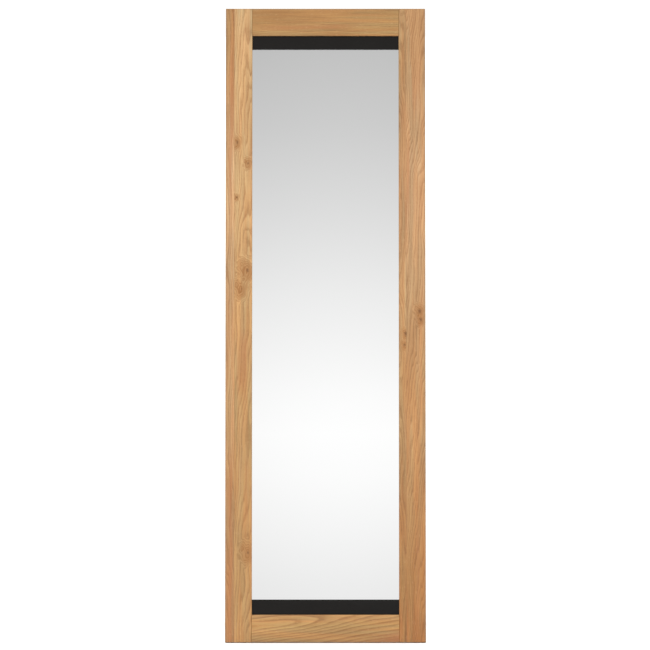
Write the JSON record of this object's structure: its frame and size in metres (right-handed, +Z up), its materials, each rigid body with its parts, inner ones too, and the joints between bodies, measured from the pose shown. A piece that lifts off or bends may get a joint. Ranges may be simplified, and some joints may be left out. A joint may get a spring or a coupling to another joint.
{
  "type": "floor mirror",
  "caption": "Tall free-standing floor mirror in a flat oak frame, with a black bar above and below the glass, leaning back on a hinged oak easel stand.",
  "frame": {"origin": "on the floor, at the middle of the footprint", "axes": "+Z up, -Y the way that the glass faces, +X to the right of a person looking into the glass"},
  "size_m": [0.57, 0.3598, 1.7904],
  "materials": {
    "oak": "satin",
    "beech_dowel": "matte",
    "black_steel": "satin",
    "glass": "gloss",
    "silver": "polished",
    "foam_sheet": "matte",
    "rubber": "matte",
    "fibreboard": "matte",
    "zinc_screw": "satin",
    "felt": "matte",
    "webbing": "matte"
  },
  "bodies": {
    "mirror": {"left_stile": "oak", "right_stile": "oak", "top_rail": "oak", "bottom_rail": "oak", "frame_dowels": "beech_dowel", "upper_steel_bar": "black_steel", "lower_steel_bar": "black_steel", "mirror_glass": "glass", "silver_coating": "silver", "glass_packing": "foam_sheet", "glass_setting_blocks": "rubber", "back_board": "fibreboard", "back_board_screws": "zinc_screw", "left_frame_pad": "felt", "right_frame_pad": "felt", "tether_eye_plate": "black_steel", "tether_plate_screws": "zinc_screw", "left_hinge_frame_leaf": "black_steel", "right_hinge_frame_leaf": "black_steel", "left_hinge_pin": "zinc_screw", "right_hinge_pin": "zinc_screw", "hinge_frame_screws": "zinc_screw", "stay_strap": "webbing", "frame_strap_cleat": "black_steel", "frame_cleat_screws": "zinc_screw"},
    "stand": {"left_hinge_stand_leaf": "black_steel", "right_hinge_stand_leaf": "black_steel", "hinge_stand_screws": "zinc_screw", "left_leg": "oak", "right_leg": "oak", "stand_top_rail": "oak", "stand_middle_rail": "oak", "stand_bottom_rail": "oak", "left_stand_pad": "felt", "right_stand_pad": "felt", "stand_strap_cleat": "black_steel", "stand_cleat_screws": "zinc_screw"}
  },
  "joints": [
    {"name": "stand_fold", "type": "hinge", "parent": "mirror", "child": "stand", "pos_m": [0, 0.03745, 1.33472], "axis": [-1, 0, 0], "range_deg": [0, 13], "deforming": ["stay_strap"]}
  ]
}
